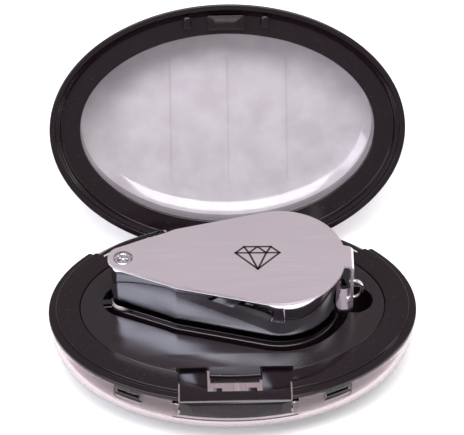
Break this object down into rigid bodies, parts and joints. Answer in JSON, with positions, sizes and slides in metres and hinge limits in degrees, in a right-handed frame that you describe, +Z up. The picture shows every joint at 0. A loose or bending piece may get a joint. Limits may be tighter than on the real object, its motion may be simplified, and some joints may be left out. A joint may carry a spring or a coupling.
{
  "type": "jewelers loupe",
  "caption": "Folding jeweller's loupe with a teardrop steel cover and swing-out chrome lens body, lying in an oval hinged clamshell case with a clear window and latch.",
  "frame": {"origin": "middle of the underside of the case, on the table", "axes": "+Z up, -Y towards the latch at the front, X along the case's long axis with the loupe's rivet on -X"},
  "size_m": [0.094, 0.1156, 0.0587],
  "materials": {
    "clear_plastic": "clear, faintly smoky",
    "black_plastic": "glossy",
    "cradle_plastic": "glossy, thin moulding",
    "cover_steel": "satin plates with a bright edge",
    "chrome": "mirror",
    "steel": "bright",
    "lens_glass": "polished",
    "ring_black": "black anodised",
    "nylon": "natural"
  },
  "bodies": {
    "base": {"base_shell": "clear_plastic", "base_tray": "black_plastic", "loupe_cradle": "cradle_plastic", "latch_spring_left": "steel", "latch_spring_right": "steel", "hinge_pin": "steel"},
    "latch": {"latch_button": "black_plastic"},
    "lid": {"lid_frame": "black_plastic", "lid_cover": "clear_plastic", "lid_window": "clear_plastic"},
    "loupe_case": {"loupe_cover": "cover_steel", "pivot_rivet": "steel", "pivot_washer_upper": "nylon", "pivot_washer_lower": "nylon"},
    "lens_unit": {"lens_body": "chrome", "lens_lower": "lens_glass", "lens_middle": "lens_glass", "lens_upper": "lens_glass", "retaining_ring_lower": "ring_black", "retaining_ring_upper": "ring_black"},
    "bail": {"lanyard_bail": "steel"}
  },
  "joints": [
    {"name": "lid_hinge", "type": "hinge", "parent": "base", "child": "lid", "pos_m": [0, 0.02975, 0.0122], "axis": [-1, 0, 0], "range_deg": [-126, 0]},
    {"name": "loupe_lift", "type": "slide", "parent": "base", "child": "loupe_case", "axis": [0, 0, 1], "range_m": [0, 0.05]},
    {"name": "lens_swing", "type": "hinge", "parent": "loupe_case", "child": "lens_unit", "pos_m": [-0.0276, 0.00215, 0.0275], "axis": [0, 0, -1], "range_deg": [0, 180]},
    {"name": "latch_press", "type": "slide", "parent": "base", "child": "latch", "axis": [0, 1, 0], "range_m": [0, 0.0003], "stiffness_N_per_m": 600, "springref_m": -0.0005},
    {"name": "bail_swing", "type": "hinge", "parent": "loupe_case", "child": "bail", "pos_m": [0.03034, 0.00134, 0.0238], "axis": [0, 0, 1], "range_deg": [-35, 35]}
  ]
}
